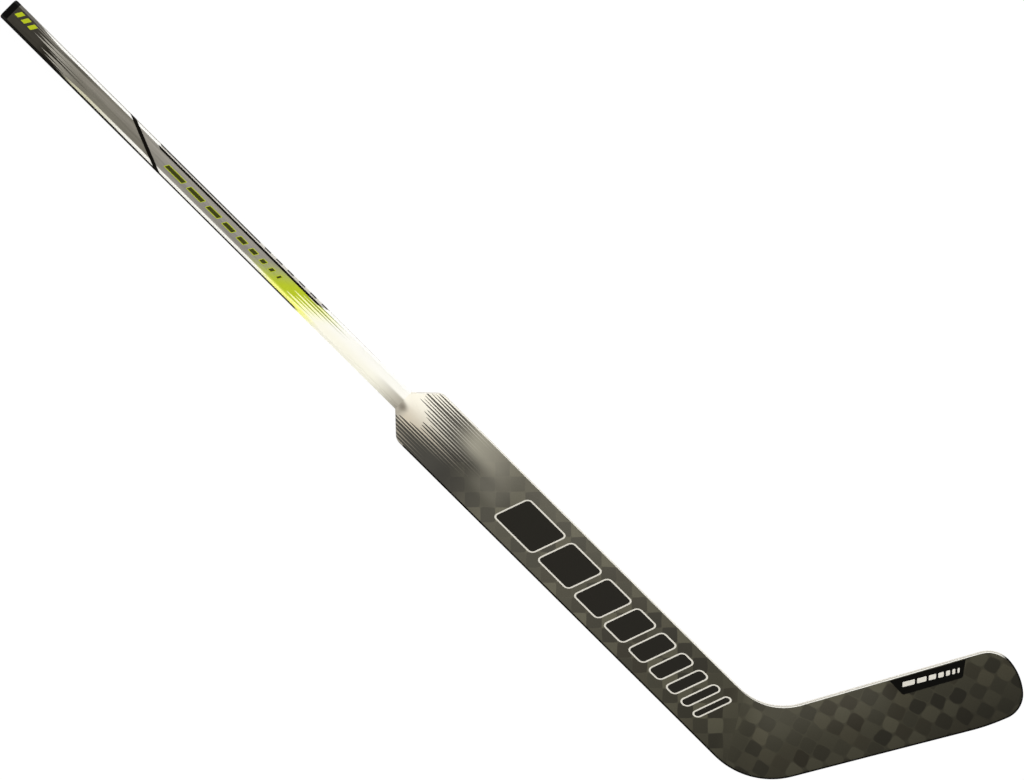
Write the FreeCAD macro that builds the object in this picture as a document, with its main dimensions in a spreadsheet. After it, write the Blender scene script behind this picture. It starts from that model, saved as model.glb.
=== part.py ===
import FreeCAD, Part
import math
import os
import re
import Sketcher

# A hockey goalie stick, lying on its back with the playing face up.
# X runs along the shaft and paddle towards the heel, Y points to the blade's side,
# Z comes out of the playing face. All lengths are millimetres, all angles degrees.
# The origin is the middle of the paddle's back face.

doc = FreeCAD.newDocument("goalie_stick")
sheet = doc.addObject("Spreadsheet::Sheet", "Sizes")

SIZES = (
    # Shaft
    ("shaft_width", 31.5),
    ("shaft_depth", 20.0),
    ("shaft_corner", 4.0),
    ("shaft_wall", 2.0),
    ("shaft_length", 750.0),
    ("cap_length", 10.0),
    ("cap_round", 3.0),
    ("plug_length", 45.0),
    ("plug_relief", 1.2),
    ("plug_fit", 0.1),
    ("rib_length", 4.0),
    ("rib_pitch", 11.0),
    # Neck
    ("ridge_rise", 1.6),
    ("ridge_drop", 2.6),
    ("ridge_reach", 155.0),
    ("ridge_full", 70.0),
    ("fairing_length", 28.0),
    ("tenon_in_shaft", 110.0),
    ("tenon_in_paddle", 130.0),
    ("glue_gap", 0.15),
    ("plate_half", 20.0),
    # Paddle
    ("paddle_width", 89.0),
    ("paddle_length", 666.0),
    ("face_step", 2.0),
    ("shoulder_angle", 43.7),
    ("shoulder_radius", 17.0),
    ("shoulder_reach", 12.0),
    ("rail_width", 4.0),
    ("rail_round", 3.6),
    ("skin", 1.2),
    ("spar", 1.5),
    # Heel and blade
    ("heel_angle", 59.3),
    ("heel_outer_radius", 110.0),
    ("heel_inner_radius", 84.0),
    ("heel_reach", 108.0),
    ("heel_middle", 76.0),
    ("blade_length", 392.6),
    ("blade_width", 89.8),
    ("blade_flare", 1.62),
    ("blade_flat", 108.0),
    ("back_rise", 14.5),
    ("front_rise", 6.0),
    ("blade_rib", 2.0),
    ("rib_height", 48.0),
    ("sole_lift", 8.4),
    ("sole_lift_from_toe", 60.2),
    ("sole_lift_radius", 300.0),
    ("toe_front_radius", 75.0),
    ("toe_centre", 45.1),
    ("toe_top_radius", 38.5),
    ("toe_bottom_radius", 35.0),
    ("toe_length", 54.0),
    # Label on the blade
    ("label_from_toe", 65.0),
    ("label_length", 106.0),
    ("label_height", 22.6),
    ("label_heel_slant", 12.5),
    ("label_toe_slant", 10.0),
    ("label_round", 4.0),
    ("label_depth", 0.3),
    ("label_glue", 0.3),
    # Extra length on shapes that only cut others
    ("margin", 12.0),
)
for row, (alias, size) in enumerate(SIZES, 1):
    sheet.set(f"A{row}", alias.replace("_", " "))
    sheet.set(f"B{row}", str(size))
    sheet.setAlias(f"B{row}", alias)
doc.recompute()

ALIASES = {alias for alias, size in SIZES}

# Places worked out from the sizes, written as expressions
HALF = "(paddle_width / 2)"
FRONT = "(shaft_depth - face_step)"
HEEL_X = "(paddle_length / 2)"
SHOULDER_X = "(-paddle_length / 2)"
NECK_X = f"({SHOULDER_X} - (paddle_width - shaft_width) / 2 / tan(shoulder_angle))"
BUTT_X = f"({NECK_X} - shaft_length)"
TUBE_X = f"({BUTT_X} + cap_length)"
SIDE_X = f"({SHOULDER_X} + shoulder_reach)"
BEND_X = f"({HEEL_X} - heel_reach)"
CELL = "(shaft_width / 2 - shaft_wall)"
EDGE_Z = "(shaft_depth - ridge_drop)"
RIDGE_Z = "(shaft_depth + ridge_rise)"
TOE_P = "(blade_length - toe_length)"
BLADE_TURN = "heel_angle"
SEAM_TURN = "(heel_angle / 2)"
BACK_RADIUS = "(((blade_length - blade_flat) ^ 2 + back_rise ^ 2) / (2 * back_rise))"
FRONT_RADIUS = "(((blade_length - blade_flat) ^ 2 + front_rise ^ 2) / (2 * front_rise))"


def bound(text):
    """The expression with every size's name pointed at the sheet."""
    return re.sub(r"[a-z_]+", lambda word: f"Sizes.{word[0]}" if word[0] in ALIASES else word[0], text)


def value(text):
    """The number an expression stands for now."""
    found = sheet.evalExpression(bound(text))
    return float(getattr(found, "Value", found))


def bind(item, prop, text):
    """Tie one property of an object to an expression of the sizes."""
    item.setExpression(prop, bound(text))


def drawn_in(corner, before, after, inset):
    """A corner of an outline after both its edges move inwards by the inset."""
    x, y = corner
    share = f"({inset}) / (1 + cos(({before}) - ({after})))"
    return (
        f"({x}) - {share} * (sin({before}) + sin({after}))",
        f"({y}) + {share} * (cos({before}) + cos({after}))",
    )


def body_of(name):
    """A new body in the shared frame."""
    return doc.addObject("PartDesign::Body", name)


def blade_body_of(name):
    """A new body in the blade's own frame, which starts at the heel corner and follows the sole."""
    body = body_of(name)
    turn_at_heel(body, BLADE_TURN, ("0", "0"))
    return body


def turn_at_heel(item, turn, place):
    """Put an object at a place of the frame that starts at the heel corner and is turned there."""
    along, across = place
    item.Placement = FreeCAD.Placement(
        FreeCAD.Vector(), FreeCAD.Rotation(FreeCAD.Vector(0, 0, 1), value(turn))
    )
    bind(item, "Placement.Rotation.Angle", f"{turn} * 1 deg")
    bind(item, "Placement.Base.x", f"{HEEL_X} + ({along}) * cos({turn}) - ({across}) * sin({turn})")
    bind(item, "Placement.Base.y", f"-{HALF} + ({along}) * sin({turn}) + ({across}) * cos({turn})")


def origin_part(body, role):
    """One of the body's own origin planes or axes."""
    return next(item for item in body.Origin.OriginFeatures if item.Role == role)


def sketch_on(body, name, role, away="0"):
    """An empty sketch on one of the body's origin planes, set off along its normal."""
    sketch = body.newObject("Sketcher::SketchObject", name)
    sketch.AttachmentSupport = (origin_part(body, role), [""])
    sketch.MapMode = "FlatFace"
    bind(sketch, "AttachmentOffset.Base.z", away)
    return sketch


def pin(sketch, item, point, place):
    """Hold one point of a sketch at a place given by two expressions."""
    for kind, text in zip(("DistanceX", "DistanceY"), place):
        number = sketch.addConstraint(Sketcher.Constraint(kind, -1, 1, item, point, value(text)))
        bind(sketch, f"Constraints[{number}]", text)


def join(sketch, item, point, other, other_point):
    """Make two points of a sketch meet."""
    sketch.addConstraint(Sketcher.Constraint("Coincident", item, point, other, other_point))


def polygon(body, name, role, corners, away="0"):
    """A closed polygon sketch; every corner is a pair of expressions."""
    sketch = sketch_on(body, name, role, away)
    points = [FreeCAD.Vector(value(x), value(y), 0) for x, y in corners]
    following = points[1:] + points[:1]
    for start, end in zip(points, following):
        sketch.addGeometry(Part.LineSegment(start, end))
    for number in range(len(points)):
        join(sketch, number, 2, (number + 1) % len(points), 1)
    for number, corner in enumerate(corners):
        pin(sketch, number, 1, corner)
    return sketch


def pad_of(body, name, sketch, length, backwards=False):
    """A pad of one sketch."""
    pad = body.newObject("PartDesign::Pad", name)
    pad.Profile = sketch
    pad.Reversed = backwards
    bind(pad, "Length", length)
    doc.recompute()
    return pad


def rounded(body, name, feature, edges, radius):
    """A fillet on some edges of a body's last feature."""
    names = [f"Edge{number}" for number, edge in enumerate(feature.Shape.Edges, 1) if edges(edge)]
    if not names:
        raise RuntimeError(f"{name}: no edge to round")
    fillet = body.newObject("PartDesign::Fillet", name)
    fillet.Base = (feature, names)
    bind(fillet, "Radius", radius)
    doc.recompute()
    return fillet


def upright_at(place):
    """A test for the upright edge that stands at a place of the plan."""
    def found(edge):
        ends = [vertex.Point for vertex in edge.Vertexes]
        return len(ends) == 2 and all(math.hypot(end.x - place[0], end.y - place[1]) < 0.01 for end in ends)
    return found


def meet(name, base, tool):
    """What two shapes share."""
    common = doc.addObject("Part::Common", name)
    common.Base = base
    common.Tool = tool
    doc.recompute()
    return common


def less(name, base, tool):
    """A shape with another taken away from it."""
    cut = doc.addObject("Part::Cut", name)
    cut.Base = base
    cut.Tool = tool
    doc.recompute()
    return cut


def box_of(name, low, high, turn=None):
    """A block through all layers, from one corner of the plan to another, turned at the heel if asked."""
    box = doc.addObject("Part::Box", name)
    bind(box, "Length", f"({high[0]}) - ({low[0]})")
    bind(box, "Width", f"({high[1]}) - ({low[1]})")
    bind(box, "Height", "shaft_depth + front_rise + 4 * margin")
    if turn:
        turn_at_heel(box, turn, low)
    else:
        bind(box, "Placement.Base.x", low[0])
        bind(box, "Placement.Base.y", low[1])
    bind(box, "Placement.Base.z", "-2 * margin")
    doc.recompute()
    return box


def shaft_section(edge, ridge, inset):
    """The shaft's outline across its length, with its front creased along the middle."""
    side = "(shaft_width / 2)"
    corner = "shaft_corner"
    slope = f"atan((({ridge}) - ({edge})) / ({side} - {corner}))"
    angles = (
        "0 deg", "45 deg", "90 deg", "135 deg", f"180 deg - {slope}",
        f"180 deg + {slope}", "225 deg", "270 deg", "315 deg",
    )
    corners = (
        (f"-{side} + {corner}", "0"),
        (f"{side} - {corner}", "0"),
        (side, corner),
        (side, f"{edge} - {corner}"),
        (f"{side} - {corner}", edge),
        ("0", ridge),
        (f"-{side} + {corner}", edge),
        (f"-{side}", f"{edge} - {corner}"),
        (f"-{side}", corner),
    )
    before = angles[-1:] + angles[:-1]
    return [drawn_in(*each, inset) for each in zip(corners, before, angles)]


def flat_section(front, inset):
    """The shaft's outline across its length where its front is flat."""
    section = shaft_section(front, front, inset)
    return section[:5] + section[6:]


def make_shaft_tube():
    """The hollow shaft, eight sided, with a ridge growing on its front towards the paddle."""
    body = body_of("shaft_tube")
    places = (
        (TUBE_X, "shaft_depth", "shaft_depth"),
        (f"{NECK_X} - ridge_reach", "shaft_depth", "shaft_depth"),
        (f"{NECK_X} - ridge_full", EDGE_Z, RIDGE_Z),
        (NECK_X, EDGE_Z, RIDGE_Z),
    )
    for kind, name, inset in (
        ("PartDesign::AdditiveLoft", "shaft_outside", "0"),
        ("PartDesign::SubtractiveLoft", "shaft_bore", "shaft_wall"),
    ):
        sections = []
        for number, (x, edge, ridge) in enumerate(places):
            corners = shaft_section(edge, ridge, inset)
            sections.append(polygon(body, f"{name}_{number}", "YZ_Plane", corners, x))
        loft = body.newObject(kind, name)
        loft.Profile = sections[0]
        loft.Sections = sections[1:]
        loft.Ruled = True
        doc.recompute()
    return body


def make_butt_plug():
    """The cap on the shaft's end, with a ribbed shank that grips the bore."""
    body = body_of("butt_plug")
    cap = polygon(body, "cap_outline", "YZ_Plane", flat_section("shaft_depth", "0"), BUTT_X)
    cap_pad = pad_of(body, "cap", cap, "cap_length")
    end = value(BUTT_X)
    on_end = lambda edge: all(abs(vertex.X - end) < 0.01 for vertex in edge.Vertexes)
    rounded(body, "cap_rounding", cap_pad, on_end, "cap_round")
    shank = polygon(
        body, "shank_outline", "YZ_Plane", flat_section("shaft_depth", "shaft_wall + plug_relief"), TUBE_X
    )
    pad_of(body, "shank", shank, "plug_length")
    rib = polygon(
        body, "rib_outline", "YZ_Plane", flat_section("shaft_depth", "shaft_wall + plug_fit"),
        f"{TUBE_X} + plug_length - rib_length - 3 * rib_pitch",
    )
    rib_pad = pad_of(body, "rib", rib, "rib_length")
    pattern = body.newObject("PartDesign::LinearPattern", "ribs")
    pattern.Originals = [rib_pad]
    pattern.Direction = (origin_part(body, "X_Axis"), [""])
    bind(pattern, "Length", "3 * rib_pitch")
    pattern.Occurrences = 4
    body.Tip = pattern
    doc.recompute()
    return body


def make_tenon(name, inset, start, length):
    """A bar across the neck joint; drawn bigger it is the socket for itself."""
    body = body_of(name)
    outline = polygon(body, f"{name}_outline", "YZ_Plane", flat_section(EDGE_Z, inset), start)
    pad_of(body, f"{name}_bar", outline, length)
    return body


def make_fairing():
    """The pointed end of the shaft's ridge, lying on the paddle's face."""
    body = body_of("neck_fairing")
    foot = f"(shaft_width / 2 - shaft_corner) * ({RIDGE_Z} - {FRONT}) / ({RIDGE_Z} - {EDGE_Z})"
    triangle = polygon(
        body, "fairing_foot", "YZ_Plane", [(f"-{foot}", FRONT), (foot, FRONT), ("0", RIDGE_Z)], NECK_X
    )
    tip = sketch_on(body, "fairing_tip", "YZ_Plane", f"{NECK_X} + fairing_length")
    tip.addGeometry(Part.Point(FreeCAD.Vector(0, value(FRONT), 0)))
    pin(tip, 0, 1, ("0", FRONT))
    loft = body.newObject("PartDesign::AdditiveLoft", "fairing")
    loft.Profile = triangle
    loft.Sections = [(tip, ["Vertex1"])]
    loft.Ruled = True
    doc.recompute()
    return body


def make_outline(name, inset):
    """The plan of the paddle and blade, drawn in by an inset and padded through all layers."""
    body = body_of(name)
    slope = "shoulder_angle * 1 deg"
    sole = "heel_angle * 1 deg"
    lifted = "(heel_angle + sole_lift) * 1 deg"
    top = "(heel_angle + blade_flare) * 1 deg"
    climb = f"((paddle_width - blade_width * cos(heel_angle)) / sin({top}))"
    inner_x = f"{HEEL_X} - blade_width * sin(heel_angle) + {climb} * cos({top})"
    lift_at = "(blade_length - sole_lift_from_toe)"
    lift = (f"{HEEL_X} + {lift_at} * cos(heel_angle)", f"-{HALF} + {lift_at} * sin(heel_angle)")
    fixed = (
        drawn_in((NECK_X, "-shaft_width / 2"), "-90 deg", f"-{slope}", inset),
        drawn_in((SHOULDER_X, f"-{HALF}"), f"-{slope}", "0 deg", inset),
        drawn_in((HEEL_X, f"-{HALF}"), "0 deg", sole, inset),
        drawn_in(lift, sole, lifted, inset),
        drawn_in((inner_x, HALF), f"180 deg + {top}", "180 deg", inset),
        drawn_in((SHOULDER_X, HALF), "180 deg", f"180 deg + {slope}", inset),
        drawn_in((NECK_X, "shaft_width / 2"), f"180 deg + {slope}", "270 deg", inset),
    )
    reach = "(blade_length - toe_front_radius)"
    centre = (
        f"{HEEL_X} + {reach} * cos(heel_angle) - toe_centre * sin(heel_angle)",
        f"-{HALF} + {reach} * sin(heel_angle) + toe_centre * cos(heel_angle)",
    )
    neck_a, side_a, heel_a, lift_a, heel_b, side_b, neck_b = [
        FreeCAD.Vector(value(x), value(y), 0) for x, y in fixed
    ]
    middle = FreeCAD.Vector(value(centre[0]), value(centre[1]), 0)
    radius = value(f"toe_front_radius - ({inset})")

    def on_toe(start, angle):
        """Where a line from a corner leaves the toe's circle."""
        way = FreeCAD.Vector(math.cos(angle), math.sin(angle), 0)
        back = start - middle
        along = -back.dot(way) + math.sqrt(back.dot(way) ** 2 - back.dot(back) + radius ** 2)
        return start + way * along

    low_angle = math.radians(value("heel_angle + sole_lift"))
    high_angle = math.radians(value("heel_angle + blade_flare"))
    toe_low = on_toe(lift_a, low_angle)
    toe_high = on_toe(heel_b, high_angle)
    sketch = sketch_on(body, f"{name}_plan", "XY_Plane", "-margin")
    sketch.addGeometry(Part.LineSegment(neck_a, side_a))
    sketch.addGeometry(Part.LineSegment(side_a, heel_a))
    sketch.addGeometry(Part.LineSegment(heel_a, lift_a))
    sketch.addGeometry(Part.LineSegment(lift_a, toe_low))
    start = math.atan2(toe_low.y - middle.y, toe_low.x - middle.x)
    end = math.atan2(toe_high.y - middle.y, toe_high.x - middle.x)
    circle = Part.Circle(middle, FreeCAD.Vector(0, 0, 1), radius)
    sketch.addGeometry(Part.ArcOfCircle(circle, start, end))
    sketch.addGeometry(Part.LineSegment(heel_b, toe_high))
    sketch.addGeometry(Part.LineSegment(heel_b, side_b))
    sketch.addGeometry(Part.LineSegment(side_b, neck_b))
    sketch.addGeometry(Part.LineSegment(neck_b, neck_a))
    for item, point, other, other_point in (
        (0, 2, 1, 1), (1, 2, 2, 1), (2, 2, 3, 1), (3, 2, 4, 1), (4, 2, 5, 2),
        (5, 1, 6, 1), (6, 2, 7, 1), (7, 2, 8, 1), (8, 2, 0, 1),
    ):
        join(sketch, item, point, other, other_point)
    for item, place in zip((0, 1, 2, 3, 6, 7, 8), fixed):
        pin(sketch, item, 1, place)
    pin(sketch, 4, 3, centre)
    number = sketch.addConstraint(Sketcher.Constraint("Radius", 4, radius))
    bind(sketch, f"Constraints[{number}]", f"toe_front_radius - ({inset})")
    for item, angle, text in ((3, low_angle, lifted), (5, high_angle, top)):
        number = sketch.addConstraint(Sketcher.Constraint("Angle", item, angle))
        bind(sketch, f"Constraints[{number}]", text)
    feature = pad_of(body, f"{name}_pad", sketch, "shaft_depth + front_rise + 2 * margin")
    for corner, place, size in (
        ("shoulder_a", side_a, f"shoulder_radius - ({inset})"),
        ("shoulder_b", side_b, f"shoulder_radius - ({inset})"),
        ("heel_a", heel_a, f"heel_outer_radius - ({inset})"),
        ("heel_b", heel_b, f"heel_inner_radius + ({inset})"),
        ("sole_lift", lift_a, f"sole_lift_radius - ({inset})"),
        ("toe_low", toe_low, f"toe_bottom_radius - ({inset})"),
        ("toe_high", toe_high, f"toe_top_radius - ({inset})"),
    ):
        feature = rounded(body, f"{name}_{corner}", feature, upright_at((place.x, place.y)), size)
    return body


def make_layer(name, low, low_radius, high, high_radius):
    """A wide sheet between two heights, flat under the paddle and curving up along the blade."""
    body = blade_body_of(name)
    sketch = sketch_on(body, f"{name}_side", "XZ_Plane", "margin")
    start = "-paddle_length"
    bend = "blade_flat"
    end = "blade_length + margin"
    low_points = [FreeCAD.Vector(value(x), value(low), 0) for x in (start, bend)]
    high_points = [FreeCAD.Vector(value(x), value(high), 0) for x in (start, bend)]
    sketch.addGeometry(Part.LineSegment(high_points[0], low_points[0]))
    sketch.addGeometry(Part.LineSegment(low_points[0], low_points[1]))
    sketch.addGeometry(Part.LineSegment(high_points[1], high_points[0]))
    tips = []
    for height, radius in ((low, low_radius), (high, high_radius)):
        size = value(radius)
        middle = FreeCAD.Vector(value(bend), value(height) + size, 0)
        turn = math.asin((value(end) - value(bend)) / size)
        circle = Part.Circle(middle, FreeCAD.Vector(0, 0, 1), size)
        down = -math.pi / 2
        sketch.addGeometry(Part.ArcOfCircle(circle, down, down + turn))
        tips.append(middle + FreeCAD.Vector(math.sin(turn), -math.cos(turn), 0) * size)
    sketch.addGeometry(Part.LineSegment(tips[0], tips[1]))
    for item, point, other, other_point in (
        (0, 2, 1, 1), (1, 2, 3, 1), (3, 2, 5, 1), (5, 2, 4, 2), (4, 1, 2, 1), (2, 2, 0, 1),
    ):
        join(sketch, item, point, other, other_point)
    pin(sketch, 0, 1, (start, high))
    pin(sketch, 1, 1, (start, low))
    pin(sketch, 1, 2, (bend, low))
    pin(sketch, 2, 1, (bend, high))
    for item, height, radius in ((3, low, low_radius), (4, high, high_radius)):
        pin(sketch, item, 3, (bend, f"({height}) + {radius}"))
        number = sketch.addConstraint(Sketcher.Constraint("DistanceX", -1, 1, item, 2, value(end)))
        bind(sketch, f"Constraints[{number}]", end)
    pad_of(body, f"{name}_sheet", sketch, "paddle_length + blade_length", backwards=True)
    return body


def make_form(outline, layer):
    """The whole paddle and blade as one shape, with its rim rounded front and back."""
    rough = meet("rough_form", outline, layer)
    body = doc.addObject("PartDesign::Body", "form")
    body.BaseFeature = rough
    doc.recompute()
    neck = value(NECK_X)

    def on_rim(edge):
        """Edges between the faces and the rim, apart from those at the neck."""
        ends = [vertex.Point for vertex in edge.Vertexes]
        if all(abs(end.x - neck) < 0.01 for end in ends):
            return False
        first, last = ends[0], ends[-1]
        return math.hypot(last.x - first.x, last.y - first.y) > 0.5

    rounded(body, "rim_rounding", body.Tip, on_rim, "rail_round")
    return body


def make_label(layer):
    """The thin trapezoid label at the blade's top edge."""
    body = blade_body_of("label_block")
    edge = "blade_width - rail_width / cos(blade_flare)"
    end = "blade_length - label_from_toe"
    start = f"{end} - label_length"
    low_start = f"{start} + label_heel_slant"
    low_end = f"{end} - label_toe_slant"
    corners = [
        (low_start, f"{edge} + ({low_start}) * tan(blade_flare) - label_height"),
        (low_end, f"{edge} + ({low_end}) * tan(blade_flare) - label_height"),
        (end, f"{edge} + ({end}) * tan(blade_flare)"),
        (start, f"{edge} + ({start}) * tan(blade_flare)"),
    ]
    outline = polygon(body, "label_outline", "XY_Plane", corners)
    feature = pad_of(body, "label_pad", outline, "shaft_depth + front_rise + margin")
    for number, (x, y) in enumerate(corners[:2]):
        place = (value(x), value(y))
        feature = rounded(body, f"label_corner_{number}", feature, upright_at(place), "label_round")
    return meet("blade_label", body, layer)


def make_all():
    """Every piece of the stick, in the order they are listed in the report."""
    pieces = [make_shaft_tube(), make_butt_plug()]
    tenon_start = f"{NECK_X} - tenon_in_shaft"
    tenon_length = "tenon_in_shaft + tenon_in_paddle"
    pieces.append(make_tenon("neck_tenon", "shaft_wall + glue_gap", tenon_start, tenon_length))
    socket = make_tenon("socket", "shaft_wall", NECK_X, "tenon_in_paddle + glue_gap")
    pieces.append(make_fairing())

    outer = make_outline("outer", "0")
    inner = make_outline("inner", "rail_width")
    back = make_layer("back_layer", "0", BACK_RADIUS, "skin", f"({BACK_RADIUS} - skin)")
    core = make_layer("core_layer", "skin", f"({BACK_RADIUS} - skin)", f"{FRONT} - skin", f"({FRONT_RADIUS} + skin)")
    front = make_layer("front_layer", f"{FRONT} - skin", f"({FRONT_RADIUS} + skin)", FRONT, FRONT_RADIUS)
    whole = make_layer("whole_layer", "0", BACK_RADIUS, FRONT, FRONT_RADIUS)
    top = make_layer(
        "label_layer", f"{FRONT} + label_glue", f"({FRONT_RADIUS} - label_glue)",
        f"{FRONT} + label_glue + label_depth", f"({FRONT_RADIUS} - label_glue - label_depth)",
    )
    form = make_form(outer, whole)
    ring = less("ring", form, inner)

    # Skins, parted along the line that halves the heel's angle
    far = "2 * paddle_length"
    paddle_side = box_of("paddle_side", (f"-({far})", f"-({far})"), ("0", far), turn=SEAM_TURN)
    for side, layer in (("front", front), ("back", back)):
        skin = meet(f"{side}_skin", inner, layer)
        pieces.append(meet(f"paddle_{side}_skin", skin, paddle_side))
        pieces.append(less(f"blade_{side}_skin", skin, paddle_side))

    # Cores, spars and rib between the skins
    filling = meet("filling", inner, core)
    low_x = f"{NECK_X} - margin"
    wide = f"{HALF} + margin"
    spar_side = f"({CELL} + spar)"
    for name, low, high in (
        ("paddle_core_outer", f"-({wide})", f"-{spar_side}"),
        ("paddle_spar_outer", f"-{spar_side}", f"-{CELL}"),
        ("middle_core", f"-{CELL}", CELL),
        ("paddle_spar_inner", CELL, spar_side),
        ("paddle_core_inner", spar_side, wide),
    ):
        piece = meet(name, filling, box_of(f"{name}_zone", (low_x, low), (BEND_X, high)))
        pieces.append(less("paddle_core_centre", piece, socket) if name == "middle_core" else piece)
    blade_end = "blade_length + margin"
    rib_low = "rib_height - blade_rib / 2"
    rib_high = "rib_height + blade_rib / 2"
    for name, low, high in (
        ("blade_core_lower", "-margin", rib_low),
        ("blade_rib", rib_low, rib_high),
        ("blade_core_upper", rib_high, "2 * blade_width"),
    ):
        zone = box_of(f"{name}_zone", ("heel_reach", low), (blade_end, high), turn=BLADE_TURN)
        pieces.append(meet(name, filling, zone))
    paddle_zone = box_of("paddle_zone", (low_x, f"-({wide})"), (BEND_X, wide))
    blade_zone = box_of("blade_zone", ("heel_reach", "-margin"), (blade_end, "2 * blade_width"), turn=BLADE_TURN)
    pieces.append(less("heel_core", less("lower_filling", filling, paddle_zone), blade_zone))

    # Rails around the rim
    plate = meet("plate", ring, box_of("plate_zone", (low_x, "-plate_half"), (SIDE_X, "plate_half")))
    pieces.append(less("neck_plate", plate, socket))
    for side, low, high in (("outer", f"-({wide})", "0"), ("inner", "0", wide)):
        edge_low = low if side == "outer" else "plate_half"
        edge_high = "-plate_half" if side == "outer" else high
        shoulder = box_of(f"shoulder_{side}_zone", (low_x, edge_low), (SIDE_X, edge_high))
        pieces.append(meet(f"shoulder_rail_{side}", ring, shoulder))
        rail = box_of(f"rail_{side}_zone", (SIDE_X, low), (BEND_X, high))
        pieces.append(meet(f"paddle_rail_{side}", ring, rail))
    heel_ring = less("heel_ring", less("lower_ring", ring, paddle_zone), blade_zone)
    outside = box_of("heel_outside", (f"-({far})", f"-({far})"), (far, "heel_middle"), turn=SEAM_TURN)
    pieces.append(meet("heel_rail_outer", heel_ring, outside))
    pieces.append(less("heel_rail_inner", heel_ring, outside))
    for name, low, high in (
        ("blade_sole_rail", ("heel_reach", "-margin"), (TOE_P, "rib_height")),
        ("blade_top_rail", ("heel_reach", "rib_height"), (TOE_P, "2 * blade_width")),
        ("toe_rail", (TOE_P, "-margin"), (blade_end, "2 * blade_width")),
    ):
        pieces.append(meet(name, ring, box_of(f"{name}_zone", low, high, turn=BLADE_TURN)))
    pieces.append(make_label(top))
    return pieces


subparts = make_all()
doc.recompute()
faults = [item.Name for item in doc.Objects if {"Invalid", "Error"} & set(item.State)]
if faults:
    raise RuntimeError(f"objects in error: {faults}")
os.makedirs("parts", exist_ok=True)
for piece in subparts:
    shape = piece.Shape
    if not shape.isValid() or len(shape.Solids) != 1:
        raise RuntimeError(f"{piece.Label}: not one sound solid ({len(shape.Solids)})")
    shape.exportStep(f"parts/{piece.Label}.step")
    print(piece.Label, round(shape.Volume / 1000, 2), "cm3")
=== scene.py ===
"""Goalie stick: paint, carbon weave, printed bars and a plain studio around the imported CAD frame."""

from __future__ import annotations

import logging
import math
from dataclasses import dataclass, field
from enum import Enum
from typing import Any, Callable

import bmesh
import bpy
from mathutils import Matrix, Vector

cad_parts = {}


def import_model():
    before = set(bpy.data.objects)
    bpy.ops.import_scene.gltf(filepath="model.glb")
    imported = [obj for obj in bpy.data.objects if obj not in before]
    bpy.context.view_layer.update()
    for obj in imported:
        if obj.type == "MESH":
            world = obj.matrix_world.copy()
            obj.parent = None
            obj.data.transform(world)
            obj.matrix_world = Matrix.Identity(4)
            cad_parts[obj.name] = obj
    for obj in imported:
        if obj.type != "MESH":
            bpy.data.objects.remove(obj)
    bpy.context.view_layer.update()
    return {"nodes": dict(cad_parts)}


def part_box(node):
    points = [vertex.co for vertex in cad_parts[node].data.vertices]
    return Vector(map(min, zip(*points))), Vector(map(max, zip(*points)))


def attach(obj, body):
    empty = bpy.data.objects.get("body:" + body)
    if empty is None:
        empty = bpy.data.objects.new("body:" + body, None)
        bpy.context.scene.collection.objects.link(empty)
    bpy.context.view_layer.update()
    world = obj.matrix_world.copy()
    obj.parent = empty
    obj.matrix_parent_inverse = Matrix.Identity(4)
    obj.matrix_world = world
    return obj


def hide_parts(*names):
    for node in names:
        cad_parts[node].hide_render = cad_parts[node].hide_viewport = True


LOG = logging.getLogger("goalie_stick")
MM = 0.001
BODY = "root"
PURE_WHITE = (1.0, 1.0, 1.0)
SHARP_ANGLE = math.radians(35.0)

# Places and sizes of the CAD frame that several pieces share, in millimetres
HEEL = (333.0, -44.5)
BEND = math.radians(59.3)
NECK_X = -363.1
SHAFT_HALF = 15.75
PADDLE_WIDTH = 89.0

Colour = tuple[float, float, float]
Point = tuple[float, float]
Span = tuple[float, float]
Material = bpy.types.Material
Socket = bpy.types.NodeSocket
Place = Callable[[float, float, float], Vector]


def shade(red: float, green: float, blue: float) -> Colour:
    """Turn a screen colour from 0 to 255 into the linear numbers of a shader."""
    parts = (red / 255.0, green / 255.0, blue / 255.0)
    return tuple(p / 12.92 if p <= 0.04045 else ((p + 0.055) / 1.055) ** 2.4 for p in parts)


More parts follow.
